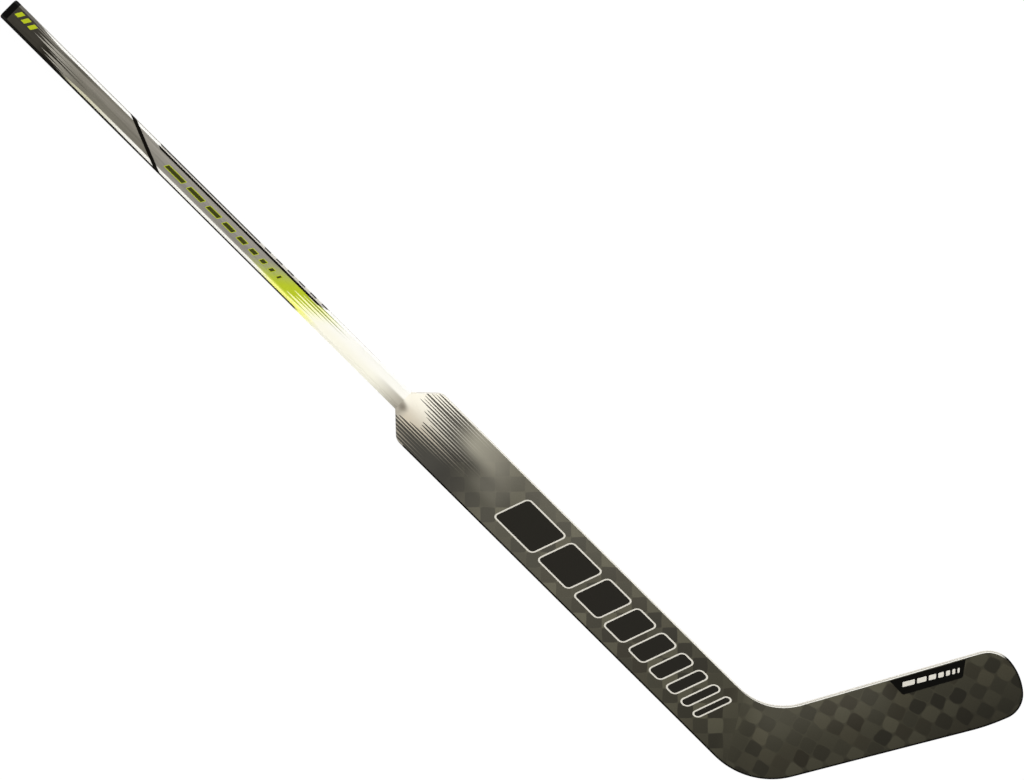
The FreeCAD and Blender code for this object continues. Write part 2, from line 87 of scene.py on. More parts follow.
class Value:
    """A number that changes over a surface, held as the socket that gives it."""

    def __init__(self, nodes: Nodes, socket: Socket) -> None:
        """Keep the socket and the node tree that its maths goes into."""
        self.nodes = nodes
        self.socket = socket

    def __add__(self, other: Number) -> Value:
        """Give this value plus another."""
        return self.nodes.maths("ADD", self, other)

    def __radd__(self, other: Number) -> Value:
        """Give a number plus this value."""
        return self.nodes.maths("ADD", other, self)

    def __sub__(self, other: Number) -> Value:
        """Give this value less another."""
        return self.nodes.maths("SUBTRACT", self, other)

    def __rsub__(self, other: Number) -> Value:
        """Give a number less this value."""
        return self.nodes.maths("SUBTRACT", other, self)

    def __mul__(self, other: Number) -> Value:
        """Give this value times another."""
        return self.nodes.maths("MULTIPLY", self, other)

    def __rmul__(self, other: Number) -> Value:
        """Give a number times this value."""
        return self.nodes.maths("MULTIPLY", other, self)

    def __truediv__(self, other: Number) -> Value:
        """Give this value divided by another."""
        return self.nodes.maths("DIVIDE", self, other)

    def __neg__(self) -> Value:
        """Give this value with its sign changed."""
        return self.nodes.maths("MULTIPLY", self, -1.0)

    def __abs__(self) -> Value:
        """Give this value without its sign."""
        return self.nodes.maths("ABSOLUTE", self)

    def root(self) -> Value:
        """Give the square root of this value."""
        return self.nodes.maths("SQRT", self)

    def floor(self) -> Value:
        """Give the whole number below this value."""
        return self.nodes.maths("FLOOR", self)

    def fraction(self) -> Value:
        """Give what is left above the whole number below."""
        return self.nodes.maths("FRACT", self)

    def sine(self) -> Value:
        """Give the sine of this value."""
        return self.nodes.maths("SINE", self)

    def power(self, other: Number) -> Value:
        """Give this value to a power."""
        return self.nodes.maths("POWER", self, other)

    def least(self, other: Number) -> Value:
        """Give the smaller of this value and another."""
        return self.nodes.maths("MINIMUM", self, other)

    def most(self, other: Number) -> Value:
        """Give the larger of this value and another."""
        return self.nodes.maths("MAXIMUM", self, other)

    def rise(self, low: Number, high: Number) -> Value:
        """Give a smooth step of this value, from 0 at low to 1 at high."""
        step = self.nodes.node("MapRange", {0: self, 1: low, 2: high}, interpolation_type="SMOOTHSTEP")
        return Value(self.nodes, step.outputs[0])

    def between(self, low: Number, high: Number, soft: float) -> Value:
        """Give 1 from low to high and 0 elsewhere, with edges as wide as soft."""
        return self.rise(low - soft, low) * (1.0 - self.rise(high, high + soft))


Number = float | Value
Feed = float | tuple | Value | Socket
Feeds = dict[str | int, Feed]
Pair = tuple[Value, Value]


class Nodes:
    """One node tree, with a single method that makes its nodes."""

    def __init__(self, tree: bpy.types.NodeTree) -> None:
        """Empty the tree and keep it."""
        self.tree = tree
        tree.nodes.clear()

    def node(self, kind: str, sockets: Feeds | None = None, **settings: Any) -> bpy.types.Node:
        """Add one node, set it, then fill its sockets.

        Args:
            kind: The node's type name after ShaderNode.
            sockets: Values or links of its inputs, by name or place.
            settings: The node's own settings, set first.

        Returns:
            The node.
        """
        made = self.tree.nodes.new("ShaderNode" + kind)
        for name, setting in settings.items():
            setattr(made, name, setting)
        for key, feed in (sockets or {}).items():
            socket = made.inputs[key]
            if isinstance(feed, Value):
                self.tree.links.new(feed.socket, socket)
            elif isinstance(feed, Socket):
                self.tree.links.new(feed, socket)
            elif socket.type == "RGBA":
                socket.default_value = (*feed, 1.0)
            else:
                socket.default_value = feed
        return made

    def maths(self, operation: str, *parts: Number) -> Value:
        """Add a Math node of that operation and give its result."""
        made = self.node("Math", dict(enumerate(parts)), operation=operation)
        return Value(self, made.outputs[0])

    def vector(self, x: Number, y: Number, z: Number = 0.0) -> Socket:
        """Join three numbers into a vector."""
        return self.node("CombineXYZ", {0: x, 1: y, 2: z}).outputs[0]

    def coordinates(self, kind: str) -> tuple[Value, Value, Value]:
        """Give the three parts of a texture coordinate."""
        held = self.node("TexCoord").outputs[kind]
        return tuple(Value(self, out) for out in self.node("SeparateXYZ", {0: held}).outputs)

    def noise(self, where: Socket, scale: float, detail: float) -> Value:
        """Give noise of about 0 to 1 at a vector, with so many waves per unit and finer layers."""
        sockets = {"Vector": where, "Scale": scale, "Detail": detail}
        return Value(self, self.node("TexNoise", sockets).outputs["Fac"])

    def chance(self, where: Socket) -> Value:
        """Give a number from 0 to 1, unlike its neighbours' but the same each run."""
        return Value(self, self.node("TexWhiteNoise", {"Vector": where}).outputs[0])

    def blend(self, factor: Number, first: Feed, second: Feed) -> Socket:
        """Mix two colours, where the factor says how much of the second shows."""
        made = self.node("Mix", {0: factor, 6: first, 7: second}, data_type="RGBA")
        return made.outputs[2]

    def bump(self, height: Value, strength: float, distance: float) -> Socket:
        """Turn a height of 0 to 1 into a bent normal, with its distance in metres."""
        sockets = {"Strength": strength, "Distance": distance, "Height": height}
        return self.node("Bump", sockets).outputs[0]


class Surface(Nodes):
    """The nodes of one material."""

    def __init__(self, name: str) -> None:
        """Start an empty material of that name."""
        self.material = bpy.data.materials.new(name)
        self.material.use_nodes = True
        super().__init__(self.material.node_tree)

    def place(self) -> tuple[Value, Value, Value]:
        """Give the point on the surface in millimetres of the frame."""
        return tuple(part * (1.0 / MM) for part in self.coordinates("Object"))

    def streaks(self, along: Value, across: Value, cut: Streaks) -> Value:
        """Draw pointed streaks that start thin and grow until they meet.

        Args:
            along: Distance in the direction of the streaks.
            across: Distance across them.
            cut: Their sizes.

        Returns:
            The mask of the streaks.
        """
        uneven = self.noise(self.vector(across, cut.seed), 0.9 / cut.pitch, 1.0)
        lane = across * (1.0 / cut.pitch) + cut.seed + (uneven - 0.5) * cut.uneven
        index = lane.floor()
        late = self.chance(self.vector(index, cut.seed))
        slow = self.chance(self.vector(index, cut.seed + 0.5))
        edge = abs(lane.fraction() - 0.5) * 2.0
        gone = along - late * cut.spread - cut.start
        full = (gone / ((slow * 0.9 + 0.55) * cut.length)).most(0.0).least(2.0)
        return (full.power(cut.ease) - edge).rise(0.0, cut.soft)

    def finish(self, sockets: Feeds) -> Material:
        """Close the material with its shader, given the values or links of its inputs."""
        self.node("OutputMaterial", {"Surface": self.node("BsdfPrincipled", sockets).outputs[0]})
        return self.material


@dataclass(frozen=True)
class Streaks:
    """Sizes of one set of pointed paint streaks, in millimetres.

    Each lane is one pitch wide. Its streak starts up to one spread late and is full after about
    one length. Ease, soft and uneven set how it widens, its blur and how the lanes differ.
    """

    pitch: float
    start: float
    spread: float
    length: float
    seed: float
    soft: float
    ease: float
    uneven: float


@dataclass
class Coats:
    """Paint laid coat over coat, at a place along and across a piece in millimetres."""

    surface: Surface
    along: Value
    across: Value
    colour: Feed

    def lay(self, mask: Number, colour: Feed) -> None:
        """Lay one more colour where the mask is 1."""
        self.colour = self.surface.blend(mask, self.colour, colour)


@dataclass(frozen=True)
class ShaftPaint:
    """Sprayed paint of the shaft, from charcoal at the butt through grey and lime to white.

    Spans are stretches in millimetres from the butt, or from the band's middle for its side.
    A lean is how far a border runs along the shaft for each millimetre across it.
    """

    butt: float
    half: float
    edge: float
    charcoal: Colour = shade(62, 59, 52)
    coal: Colour = shade(38, 35, 28)
    slate: Colour = shade(104, 101, 94)
    grey: Colour = shade(122, 118, 107)
    pale_grey: Colour = shade(150, 146, 137)
    needle: Colour = shade(172, 168, 157)
    lime: Colour = shade(182, 196, 44)
    olive: Colour = shade(132, 144, 30)
    yellow: Colour = shade(253, 253, 135)
    pale_yellow: Colour = shade(253, 253, 180)
    white: Colour = shade(248, 246, 237)
    lower_side_shade_cream: Colour = shade(248, 245, 228)
    snow: Colour = shade(253, 252, 247)
    # Painted shade on the far slope of the ridge at the neck
    painted_shade_sand: Colour = shade(160, 153, 138)
    painted_shade_clay: Colour = shade(152, 146, 133)
    khaki: Colour = shade(206, 202, 174)
    stone: Colour = shade(164, 158, 148)
    strip: Colour = shade(204, 200, 192)
    black: Colour = shade(15, 13, 9)
    butt_streaks: Streaks = Streaks(
        pitch=3.7, start=44.0, spread=26.0, length=60.0, seed=3.0, soft=0.15, ease=1.0, uneven=0.8,
    )
    white_streaks: Streaks = Streaks(
        pitch=3.8, start=534.0, spread=18.0, length=57.0, seed=8.0, soft=0.1, ease=0.6, uneven=0.6,
    )
    butt_lean: float = 2.8
    lime_lean: float = 1.8
    white_lean: float = 0.7
    strip_lean: float = 3.0
    coal_span: Span = (60.0, 85.0)
    grey_span: Span = (70.0, 145.0)
    lime_span: Span = (466.0, 536.0)
    olive_span: Span = (550.0, 590.0)
    white_span: Span = (560.0, 612.0)
    outline_span: Span = (592.0, 690.0)
    neck_span: Span = (690.0, 764.0)
    band_middle: float = 225.0
    band_from: float = 14.8
    band_lean: float = 2.46
    band_side: Span = (5.4, 7.2)
    dash_pitch: float = 21.5

    def material(self) -> Material:
        """Build the paint from the distance along the shaft and across it."""
        surface = Surface("shaft_paint")
        x, y, z = surface.place()
        run = x - self.butt
        where = surface.vector(x, y, z)
        spray = surface.noise(where, 0.9, 3.0)
        brushed = surface.noise(surface.vector(x * 0.02, y * 0.5, z * 0.5), 1.0, 2.0)
        coats = Coats(surface, run, y, self.charcoal)
        self.face(coats)
        coats.lay(brushed.rise(0.3, 0.8) * 0.2 * (1.0 - run.rise(480.0, 560.0)), self.black)
        self.upper_edge(coats)
        self.lower_edge(coats)
        orange_peel = surface.noise(where, 0.35, 1.0)
        slant = abs(y).rise(self.edge - 1.4, self.edge - 0.6)
        return surface.finish({
            "Base Color": coats.colour,
            "Roughness": 0.34 + (spray - 0.5) * 0.14 + slant * 0.4,
            "Specular IOR Level": 0.1,
            "Coat Weight": 0.5 - slant * 0.5,
            "Coat Roughness": 0.08,
            "Normal": surface.bump(orange_peel, 0.12, 0.0002),
        })

    def face(self, coats: Coats) -> None:
        """Paint the broad faces.

        Args:
            coats: The paint so far.
        """
        surface, run, y = coats.surface, coats.along, coats.across
        # Charcoal with pale needles that widen into grey
        coats.lay(run.rise(*self.coal_span), self.coal)
        needles = surface.streaks(run + y * self.butt_lean, y, self.butt_streaks)
        coats.lay(needles, surface.blend(run.rise(*self.grey_span), self.needle, self.grey))
        # Paler grey past the slanted band, light above the middle and dull below it
        coats.lay(self.past_band(run, y).rise(-2.0, 2.0), self.pale_grey)
        light = (1.0 - abs(y - 5.0).rise(1.0, 6.0)) * run.between(150.0, 500.0, 50.0)
        coats.lay(light * 0.35, self.stone)
        dull = (1.0 - abs(y + 4.0).rise(1.0, 6.0)) * run.between(250.0, 450.0, 30.0)
        coats.lay(dull * 0.35, self.grey)
        coats.lay(self.band(run, y), self.black)
        # Lime with a yellow far side, cut up by white streaks
        lime = surface.blend((-y).rise(7.0, 13.0) * 0.95, self.lime, self.yellow)
        lime = surface.blend(run.rise(*self.olive_span) * y.rise(-9.0, -5.0), lime, self.olive)
        leaning = run - y * self.lime_lean
        coats.lay(leaning.rise(*self.lime_span), lime)
        # Painted shade: the white turns warmer cream towards the lower side
        white = surface.blend((-y).rise(-7.0, 9.0), self.white, self.lower_side_shade_cream)
        white = surface.blend(leaning.rise(*self.white_span), self.pale_yellow, white)
        coats.lay(surface.streaks(run - y * self.white_lean, y, self.white_streaks), white)
        # Shade on the far slope of the ridge at the neck
        even = 0.97 + (1.0 - abs(y + 10.5).rise(1.0, 3.0)) * 0.06
        coats.lay(run.rise(*self.neck_span) * (1.0 - y.rise(-0.5, 3.0)) * even, self.painted_shade_sand)

    def past_band(self, run: Value, y: Value) -> Value:
        """Give the distance along the shaft from the middle of the slanted black band."""
        return run - self.band_middle + (y - self.band_from) * self.band_lean

    def band(self, run: Value, y: Value) -> Value:
        """Give the mask of the slanted black band."""
        return 1.0 - abs(self.past_band(run, y)).rise(*self.band_side)

    def upper_edge(self, coats: Coats) -> None:
        """Paint the slanted edge on the blade's side, with its strip between two dark lines.

        Args:
            coats: The paint so far.
        """
        run, y = coats.along, coats.across
        # Painted shade, a charcoal band inside the edge near the butt; slate at the butt, under a white
        # wedge that widens to the whole edge
        coats.lay(y.between(8.4, 10.6, 0.9) * run.between(60.0, 120.0, 60.0) * 0.7, self.charcoal)
        coats.lay(y.rise(self.edge - 0.2, self.edge + 0.4), self.slate)
        wedge = self.half - run.rise(30.0, 95.0) * (self.half - self.edge)
        coats.lay((y - wedge).rise(-0.2, 0.3), self.snow)
        # Strip and inner line, which both end on a slant
        going = 1.0 - (run - y * self.strip_lean).rise(546.0, 550.0)
        strip = (run + y).rise(290.0, 292.0) * going
        coats.lay(strip * y.rise(self.edge - 0.2, self.edge + 0.2), self.strip)
        line = y.between(9.7, 12.3, 0.3) * (run + y * 2.0).rise(298.0, 300.0) * going
        coats.lay(line, self.black)
        # Hairlines after and before the strip
        coats.lay(y.rise(14.9, 15.3) * run.between(*self.outline_span, 4.0) * 0.5, self.stone)
        coats.lay(y.rise(14.5, 14.9) * run.between(40.0, 270.0, 20.0) * 0.7, self.grey)
        # Black rim of the strip, broken into dashes towards its end
        gaps = (run * (1.0 / self.dash_pitch)).fraction().rise(0.5, 0.56) * run.rise(462.0, 466.0)
        share = 0.85 + y.rise(15.0, 15.5) * 0.15
        coats.lay(y.rise(13.8, 14.3) * strip * (1.0 - gaps) * share, self.black)

    def lower_edge(self, coats: Coats) -> None:
        """Paint the slanted edge on the far side, with a pale band inside a dark line.

        Args:
            coats: The paint so far.
        """
        run, down = coats.along, -coats.across
        coats.lay(down.rise(self.edge - 0.4, self.edge + 0.3), self.black)
        pale = Coats(coats.surface, run, down, self.khaki)
        pale.lay(run.rise(150.0, 250.0), self.white)
        pale.lay(run.rise(475.0, 520.0), self.yellow)
        # Painted shade: warmer cream on this lower edge towards the neck
        pale.lay(run.rise(560.0, 605.0), self.lower_side_shade_cream)
        # Painted shade: darker clay at the neck
        pale.lay(run.rise(*self.neck_span), self.painted_shade_clay)
        # The pale band's inner border wanders along the shaft
        inner = 11.6 - run.rise(100.0, 165.0) * 2.2
        inner = inner + run.rise(260.0, 300.0) * 0.7 + run.rise(640.0, 700.0) * 1.4
        coats.lay((down - inner).rise(-0.9, 0.6) * run.rise(108.0, 140.0), pale.colour)
        coats.lay(self.band(run, coats.across), self.black)
        outer = 12.9 + run.rise(180.0, 320.0) * 0.7
        coats.lay((down - outer).rise(-0.2, 0.3) * (1.0 - run.rise(555.0, 566.0)), self.black)


class Edge(Enum):
    """How the rounded rim of a carbon piece is painted: painted highlight inside, painted shade outside.
    """

    PLAIN = "plain"
    PAINTED_HIGHLIGHT = "pale"
    LINED_HIGHLIGHT = "lined"
    TOE = "toe"
    BLACK = "black"


@dataclass(frozen=True)
class CarbonFinish:
    """Clear-coated carbon of wide flat tows, with the white paint that runs out over the paddle's top.

    Spans named for a rim say how far up the surface faces where the rim's painted highlight or painted
    shade ends.
    The other spans are stretches along the paddle in millimetres.
    """

    edge: Edge = Edge.PLAIN
    paddle_tile: float = 28.8
    paddle_start: Point = (11.0, 1.0)
    blade_tile: float = 28.4
    blade_start: Point = (25.0, 7.0)
    blade_skew: float = 0.07
    heel_shift: float = 37.0
    slope: float = 1.046
    dark: Colour = shade(40, 38, 31)
    light: Colour = shade(90, 87, 71)
    brown: Colour = shade(66, 59, 45)
    soot_shaded: Colour = shade(72, 70, 64)
    soot_lit: Colour = shade(86, 83, 76)
    smoke_shaded: Colour = shade(62, 60, 55)
    smoke_lit: Colour = shade(154, 150, 135)
    sheen_and_haze: Colour = shade(150, 146, 132)
    white: Colour = shade(248, 246, 237)
    milk: Colour = shade(249, 244, 228)
    # Painted shade at the neck and on the turned-away part of pale rims
    painted_shade_sand: Colour = shade(206, 196, 176)
    painted_shade_clay: Colour = shade(152, 145, 131)
    painted_shadow_smudge: Colour = shade(104, 95, 80)
    black: Colour = shade(12, 11, 9)
    line: Colour = shade(170, 166, 156)
    top_streaks: Streaks = Streaks(
        pitch=3.9, start=0.0, spread=20.0, length=100.0, seed=5.0, soft=0.1, ease=0.36, uneven=0.8,
    )
    smoke_span: Span = (-288.0, -244.0)
    weave_span: Span = (-250.0, -150.0)
    sheen_x: float = -200.0
    foot: Point = (-358.0, -7.0)
    heel_span: Span = (222.0, 285.0)
    highlight_rim: Span = (0.78, 0.86)
    lined_highlight_rim: Span = (0.955, 0.985)
    shade_rim: Span = (0.9, 0.965)
    matt_rim: Span = (0.975, 0.997)

    @property
    def gloss(self) -> float:
        """Give the strength of the plain gloss, low where the rim is matt black."""
        return 0.1 if self.edge in (Edge.BLACK, Edge.TOE) else 0.25

    def material(self) -> Material:
        """Build the weave and lay the paint over it."""
        surface = Surface("carbon_" + self.edge.value)
        x, y = surface.place()[:2]
        dx, dy = x - HEEL[0], y - HEEL[1]
        along = dx * math.cos(BEND) + dy * math.sin(BEND)
        up = dy * math.cos(BEND) - dx * math.sin(BEND)
        past = dx * math.cos(BEND / 2.0) + dy * math.sin(BEND / 2.0) + self.heel_shift
        blade = past.rise(-0.4, 0.4)
        strength = (1.0 - x.rise(60.0, 250.0) * 0.45) * (0.45 + abs(past).rise(0.0, 24.0) * 0.55)
        u, v = self.weave(surface, (dx, dy), (along, up), blade)
        turn = ((u.floor() + v.floor()) * 0.5).fraction() * 2.0
        over = u * turn + v * (1.0 - turn)
        under = v * turn + u * (1.0 - turn)
        fibre = surface.noise(surface.vector(over * 34.0, under * 1.2), 1.0, 3.0)
        zone = surface.noise(surface.vector(x, y), 0.012, 1.0)
        coats = Coats(surface, x, y, self.checks(surface, (u, v), blade, strength))
        coats.lay((fibre - 0.3).most(0.0) * 0.25, self.dark)
        # Darker towards the outer edge and the toe; painted sheen and haze, lighter towards the top, on
        # the inner side and along the blade's upper edge
        outer = 1.0 - dy.least(up) * (1.0 / PADDLE_WIDTH)
        deep = outer * x.rise(150.0, 320.0) * 0.42 + along.rise(130.0, 390.0) * 0.25
        coats.lay(deep, self.black)
        sheen_and_haze = (1.0 - x.rise(-330.0, 330.0)) * (0.25 + y.rise(0.0, 40.0) * 0.12)
        sheen_and_haze = sheen_and_haze + up.rise(30.0, 90.0) * along.between(60.0, 190.0, 50.0) * 0.07
        coats.lay(sheen_and_haze, self.sheen_and_haze)
        self.paint(coats)
        # The rim's painted highlight and painted shade
        rim, matt, rim_colour = self.rim(surface)
        coats.lay(rim, rim_colour)
        seam = abs(u.fraction() - 0.5).most(abs(v.fraction() - 0.5)).rise(0.47, 0.5)
        height = fibre * 0.4 + turn * 0.4 - seam * 0.5
        return surface.finish({
            "Base Color": coats.colour,
            "Roughness": 0.36 + (fibre - 0.5) * 0.16 + (zone - 0.5) * 0.08 + matt * 0.5,
            "Specular IOR Level": self.gloss,
            "Coat Weight": (1.0 - matt) * (0.2 + x.rise(-350.0, -320.0) * 0.7),
            "Coat Roughness": 0.07,
            "Normal": surface.bump(height, 0.1, 0.00012),
        })

    def checks(self, surface: Surface, where: Pair, blade: Value, strength: Value) -> Socket:
        """Colour the checks, square and mixed on the paddle, rounder and calmer on the blade.

        Args:
            surface: The material's nodes.
            where: The two places across the tows, counted in checks.
            blade: How much of the place is on the blade.
            strength: How much the checks differ.

        Returns:
            The colour of the weave.
        """
        u, v = where
        wave = (u * math.pi).sine() * (v * math.pi).sine()
        soft = 0.05 + blade * 0.09
        low = wave.rise(0.0, soft)
        high = (-wave).rise(0.0, soft)
        chance = surface.chance(surface.vector(u.floor(), v.floor()))
        tone = 0.5 - low * (0.14 + chance * 0.6) * strength + high * (chance * 1.1 - 0.35) * strength
        carbon = surface.blend(tone, self.dark, self.light)
        tint = surface.chance(surface.vector(v.floor(), u.floor(), 7.0))
        return surface.blend(tint.rise(0.5, 1.0) * 0.25, carbon, self.brown)

    def weave(self, surface: Surface, paddle_place: Pair, blade_place: Pair, blade: Value) -> Pair:
        """Give the place in the weave, which turns with the blade at the heel.

        Args:
            surface: The material's nodes.
            paddle_place: Place along and across the paddle from the heel's corner in millimetres.
            blade_place: Place along and up the blade from the heel's corner in millimetres.
            blade: How much of the place is on the blade.

        Returns:
            The two places across the tows, counted in checks.
        """
        skewed = (blade_place[0] + blade_place[1] * self.blade_skew, blade_place[1])
        places = []
        for part in range(2):
            straight = (paddle_place[part] - self.paddle_start[part]) * (1.0 / self.paddle_tile)
            turned = (skewed[part] - self.blade_start[part]) * (1.0 / self.blade_tile)
            places.append(straight * (1.0 - blade) + turned * blade)
        reach = 0.16 + blade * 0.16
        shift = (surface.noise(surface.vector(*paddle_place), 0.045, 1.0) - 0.5) * reach
        twist = (surface.noise(surface.vector(*reversed(paddle_place)), 0.045, 1.0) - 0.5) * reach
        return places[0] + places[1] + shift, places[1] - places[0] + twist

    def paint(self, coats: Coats) -> None:
        """Lay smoky grey and pointed white streaks over the carbon at the paddle's top.

        Args:
            coats: The carbon so far.
        """
        surface, x, y = coats.surface, coats.along, coats.across
        # Smoke and soot, which give way to the bare weave, painted paler towards the blade's side as a
        # painted sheen
        side = y.rise(0.0, 24.0)
        smoke = surface.blend(side, self.smoke_shaded, self.smoke_lit)
        soot = surface.blend(side, self.soot_shaded, self.soot_lit)
        smoke = surface.blend((x + side * 6.0).rise(*self.smoke_span), soot, smoke)
        ahead = y * 0.4 + (1.0 - y.rise(-4.0, 14.0)) * 30.0
        coats.lay(1.0 - (x + ahead).rise(*self.weave_span), smoke)
        # A painted sheen, lighter in the middle of the paddle's upper part
        middle = 1.0 - abs(y).rise(6.0, 24.0)
        sheen_bloom = (1.0 - abs(x - self.sheen_x).rise(8.0, 44.0)) * middle
        coats.lay(sheen_bloom * 0.2, self.sheen_and_haze)
        smoky = coats.colour
        # Dark streaks, late behind the neck and early at both sides
        rim = x - NECK_X - (abs(y) - SHAFT_HALF).most(0.0) * self.slope
        left = (-y).rise(16.0, 30.0)
        early = (-y).rise(12.0, 20.0) * 22.0 + left * 20.0 + y.rise(10.0, 22.0) * 8.0
        dark = surface.streaks(rim - middle * 32.0 + early, y, self.top_streaks)
        # White between them, with painted shade towards the lower side and beside the ridge
        white = surface.blend((-y).rise(-18.0, 16.0) * x.rise(-366.0, -344.0), self.milk, self.painted_shade_sand)
        shaded = (1.0 - x.rise(-358.0, -344.0)) * (1.0 - y.rise((x + 363.0) * -0.6 - 1.5, 3.5))
        white = surface.blend(shaded * 0.82, white, self.painted_shade_clay)
        # A painted shadow at the ridge's foot
        dx, dy = x - self.foot[0], y - self.foot[1]
        away = (dx * dx * 0.5 + dy * dy).root()
        white = surface.blend((1.0 - away.rise(0.0, 8.0)) * 0.6, white, self.painted_shadow_smudge)
        faded = rim.rise(14.0 - left * 74.0, 158.0 - left * 93.0 - y.rise(8.0, 22.0) * 28.0)
        coats.lay(1.0 - faded, white)
        coats.lay(dark, smoky)

    def rim(self, surface: Surface) -> tuple[Number, Number, Feed]:
        """Find the rounded rim's paint: a pale painted highlight inside, matt black painted shade outside.

        Args:
            surface: The material's nodes.

        Returns:
            The mask of the rim, the mask of its matt part, and its colour.
        """
        if self.edge is Edge.PLAIN:
            return 0.0, 0.0, self.black
        north, west, up = surface.coordinates("Normal")
        flat = abs(up)
        # Inner rims: a pale painted highlight, sand where the rim turns away
        if self.edge is Edge.PAINTED_HIGHLIGHT:
            pale = surface.blend(flat.rise(0.5, 0.7), self.painted_shade_sand, self.white)
            return 1.0 - flat.rise(*self.highlight_rim), 0.0, pale
        grown = surface.place()[0].rise(*self.heel_span)
        ends = [thin + grown * (full - thin) for thin, full in zip(self.highlight_rim, self.lined_highlight_rim)]
        wide = 1.0 - flat.rise(*ends)
        narrow = 1.0 - flat.rise(*self.shade_rim)
        matt = 1.0 - flat.rise(*self.matt_rim)
        # Outer rims: matt black painted shade
        if self.edge is Edge.BLACK:
            return narrow, matt, self.black
        # A pale painted highlight with a grey line, for the lined rims and the toe
        pale = surface.blend(flat.rise(0.4, 0.58), self.painted_shade_sand, self.white)
        pale = surface.blend(flat.between(0.64, 0.82, 0.04), pale, self.line)
        if self.edge is Edge.LINED_HIGHLIGHT:
            return wide, 0.0, pale
        # At the toe, painted highlight where the rim faces the lit side, painted shade elsewhere
        lit_side = (west * 0.71 - north * 0.70) / (1.001 - up * up).root()
        share = lit_side.rise(0.75, 0.95)
        rim = wide * share + narrow * (1.0 - share)
        return rim, matt * (1.0 - share), surface.blend(share, self.black, pale)


class Grain(Enum):
    """How the skin of a plain finish is textured."""

    CELLS = "cells"
    FINE = "fine"
    DRAWN = "drawn"


@dataclass(frozen=True)
class PlainFinish:
    """One material all through, with two close tones and a grain."""

    name: str
    low: Colour
    high: Colour
    grain: Grain
    rough: float
    scale: float
    depth: float = 0.0001
    gloss: float = 0.5

    def material(self) -> Material:
        """Build the material."""
        surface = Surface(self.name)
        x, y, z = surface.place()
        where = surface.vector(x, y, z)
        if self.grain is Grain.CELLS:
            found = surface.node("TexVoronoi", {"Vector": where, "Scale": self.scale})
            height = Value(surface, found.outputs["Distance"])
        elif self.grain is Grain.DRAWN:
            height = surface.noise(surface.vector(x * 0.03, y, z), self.scale, 3.0)
        else:
            height = surface.noise(where, self.scale, 4.0)
        cloud = surface.noise(where, 0.03, 2.0)
        return surface.finish({
            "Base Color": surface.blend(height * 0.6 + cloud * 0.4, self.low, self.high),
            "Roughness": self.rough + (height - 0.5) * 0.12,
            "Specular IOR Level": self.gloss,
            "Normal": surface.bump(height, 0.3, self.depth),
        })


@dataclass(frozen=True)
class Ink:
    """Printing ink with a faint screen grain."""

    name: str
    colour: Colour
    worn: Colour

    def material(self) -> Material:
        """Build the ink."""
        surface = Surface(self.name)
        x, y, z = surface.place()
        grain = surface.noise(surface.vector(x, y, z), 1.6, 3.0)
        return surface.finish({
            "Base Color": surface.blend(grain.rise(0.45, 0.8), self.colour, self.worn),
            "Roughness": 0.38 + (grain - 0.5) * 0.2,
            "Coat Weight": 0.5,
            "Coat Roughness": 0.1,
            "Normal": surface.bump(grain, 0.1, 0.00005),
        })


PLAIN_FINISHES = (
    Ink("lime_ink", shade(186, 198, 34), shade(158, 172, 30)),
    Ink("olive_ink", shade(58, 60, 22), shade(72, 74, 30)),
    Ink("pale_ink", shade(222, 218, 206), shade(200, 196, 184)),
    Ink("dark_ink", shade(35, 33, 28), shade(43, 41, 35)),
    PlainFinish("foam", shade(196, 186, 150), shade(222, 214, 184), Grain.CELLS, rough=0.9, scale=1.6),
    PlainFinish(
        "dense_foam", shade(168, 156, 120), shade(196, 186, 150), Grain.CELLS, rough=0.85, scale=2.4,
    ),
    PlainFinish("web", shade(24, 24, 24), shade(46, 45, 43), Grain.DRAWN, rough=0.5, scale=2.0),
    PlainFinish("bar", shade(40, 38, 34), shade(66, 63, 58), Grain.DRAWN, rough=0.55, scale=1.2),
    PlainFinish("label_vinyl", shade(6, 6, 4), shade(14, 13, 10), Grain.FINE, rough=0.22, scale=2.2),
    PlainFinish(
        "cap_plastic", shade(10, 10, 9), shade(20, 19, 17), Grain.FINE, rough=0.4, scale=1.4, gloss=0.12,
    ),
)


